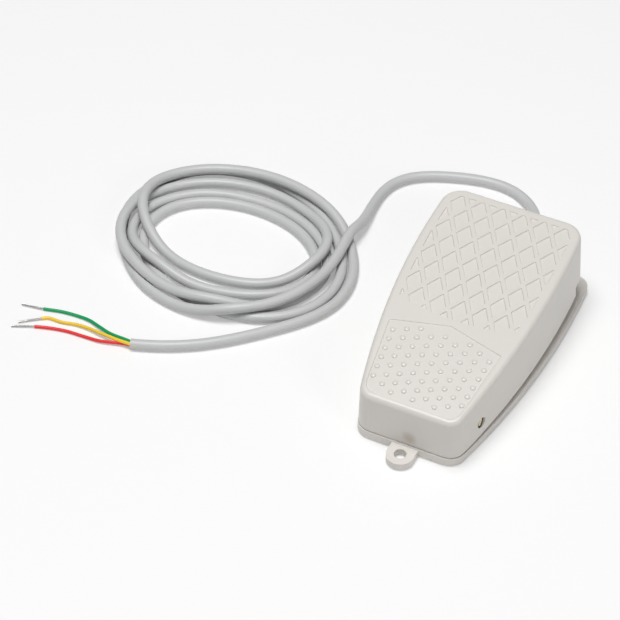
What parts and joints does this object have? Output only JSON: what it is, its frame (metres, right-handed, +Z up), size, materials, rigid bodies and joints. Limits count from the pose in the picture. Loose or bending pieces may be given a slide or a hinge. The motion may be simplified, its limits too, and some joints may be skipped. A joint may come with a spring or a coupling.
{
  "type": "foot switch",
  "caption": "Hinged foot-operated pedal switch with textured tapering cover over a moulded base, internal lever micro switch and coiled three-core cord.",
  "frame": {"origin": "on the surface the switch stands on, below the middle of the switch without its free cord", "axes": "+X right, +Y from the narrow hinge end with the mounting ear to the wide cord end, +Z up"},
  "size_m": [0.2769, 0.225, 0.0513],
  "materials": {
    "shell": "smooth, slightly glossy light grey",
    "foot_rubber": "matt black",
    "steel": "bright",
    "case_black": "matt black",
    "lid_grey": "matt dark grey",
    "plunger_red": "glossy red",
    "brass": "plain",
    "sheath": "satin cool grey",
    "core_red": "satin red",
    "core_yellow": "satin yellow",
    "core_green": "satin green",
    "tinned_copper": "tinned strands"
  },
  "bodies": {
    "housing": {"base": "shell", "rubber_feet": "foot_rubber", "hinge_pin": "steel", "pin_clips": "steel", "return_spring": "steel", "switch_screws": "steel", "switch_nuts": "steel", "clamp_screws": "steel", "switch_case": "case_black", "cable_clamp": "case_black", "switch_lid": "lid_grey", "terminal_common": "brass", "terminal_open": "brass", "terminal_closed": "brass", "cord_grommet": "sheath", "cord_inner_end": "sheath", "cord_lead": "sheath", "cord_coil": "sheath", "cord_tail": "sheath", "lead_red": "core_red", "wire_red": "core_red", "lead_yellow": "core_yellow", "wire_yellow": "core_yellow", "lead_green": "core_green", "wire_green": "core_green", "wire_ends": "tinned_copper"},
    "pedal": {"pedal_cover": "shell"},
    "lever": {"switch_lever": "steel"},
    "plunger": {"switch_plunger": "plunger_red"},
    "blade": {"contact_blade": "brass"}
  },
  "joints": [
    {"name": "pedal_hinge", "type": "hinge", "parent": "housing", "child": "pedal", "pos_m": [0, -0.059, 0.016], "axis": [1, 0, 0], "range_deg": [-2.8, 0], "stiffness_Nm_per_rad": 10, "springref_deg": 2.86, "deforming": ["return_spring"]},
    {"name": "lever_pivot", "type": "hinge", "parent": "housing", "child": "lever", "pos_m": [0, -0.038, 0.0314], "axis": [1, 0, 0], "range_deg": [-6.2, 0]},
    {"name": "plunger_slide", "type": "slide", "parent": "housing", "child": "plunger", "axis": [0, 0, 1], "range_m": [-0.0012, 0]},
    {"name": "blade_pivot", "type": "hinge", "parent": "housing", "child": "blade", "pos_m": [0, -0.0345, 0.0247], "axis": [1, 0, 0], "range_deg": [-7, 0]}
  ],
  "couplings": [
    {"joint": "lever_pivot", "follows": "pedal_hinge", "ratio": 2.1351},
    {"joint": "plunger_slide", "follows": "pedal_hinge", "m_per_rad": 0.023486},
    {"joint": "blade_pivot", "follows": "pedal_hinge", "ratio": 2.45}
  ]
}
